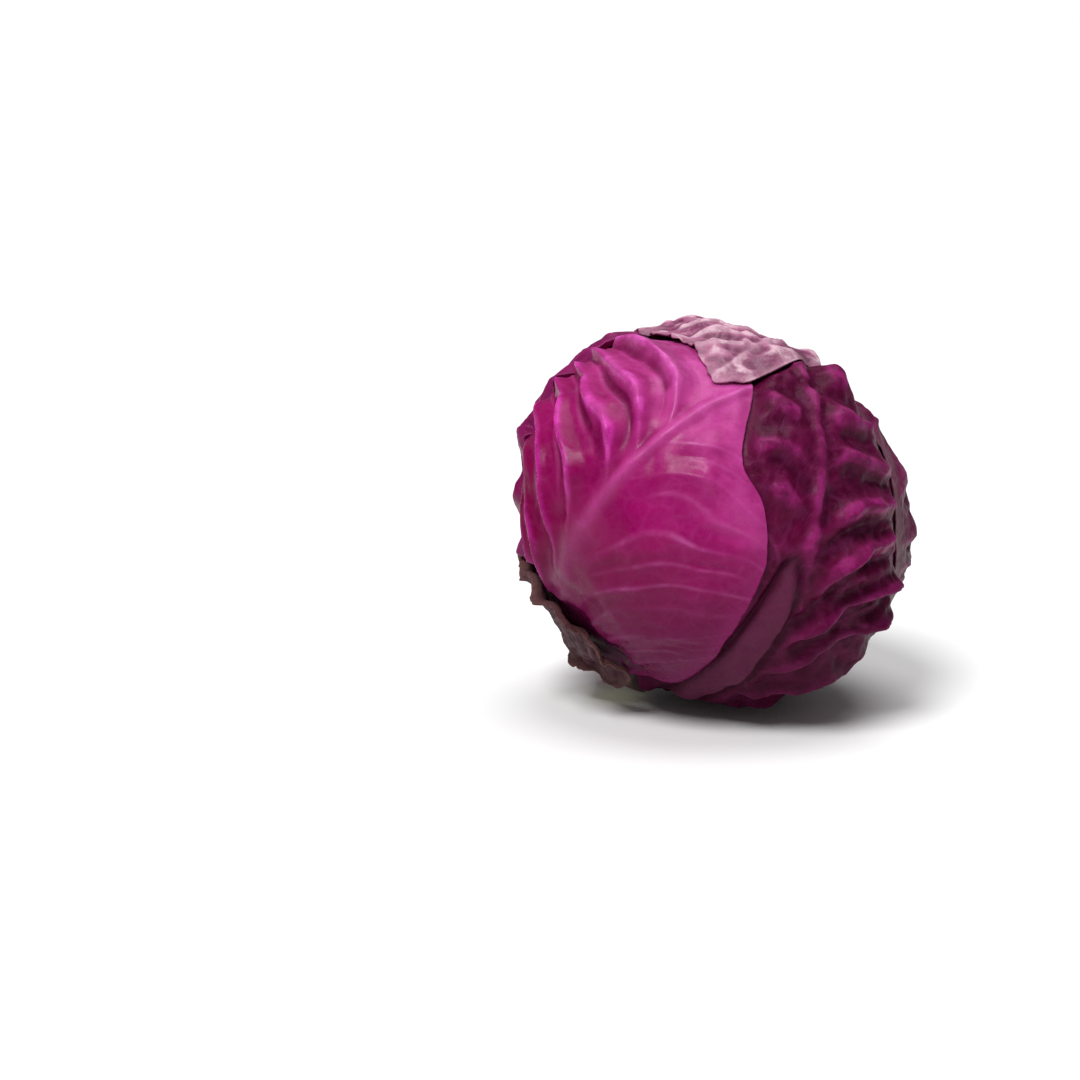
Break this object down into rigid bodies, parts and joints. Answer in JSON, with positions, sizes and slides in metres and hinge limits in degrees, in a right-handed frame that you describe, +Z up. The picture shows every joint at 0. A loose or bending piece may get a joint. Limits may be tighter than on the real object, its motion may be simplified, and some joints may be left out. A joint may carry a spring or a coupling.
{
  "type": "red cabbage head",
  "caption": "Whole head of red cabbage: wrapped, ribbed and crinkled leaves round a cut stalk, resting on a small pressed flat.",
  "frame": {"origin": "on the surface the head rests on, under the middle of its bounding box", "axes": "+Z up; the head's own axis leans towards +X, so the cut stalk points down and towards -X; -Y is the side the picture shows"},
  "size_m": [0.1699, 0.169, 0.1631],
  "materials": {
    "cut_stalk": "pale, moist, fibrous cut end",
    "packed_leaf": "tightly packed inner leaves",
    "bright_leaf": "smooth, waxy and glossy, magenta",
    "dark_leaf": "crinkled, waxy, dark purple",
    "pale_leaf": "crinkled, dull pinkish bloom",
    "dry_leaf": "dull, dried, brownish purple"
  },
  "bodies": {
    "root": {"stalk": "cut_stalk", "heart": "packed_leaf", "leaf_right": "dark_leaf", "leaf_back": "dark_leaf", "leaf_front": "bright_leaf", "leaf_left": "dark_leaf", "leaf_top": "pale_leaf", "leaf_outer": "dry_leaf"}
  },
  "joints": []
}
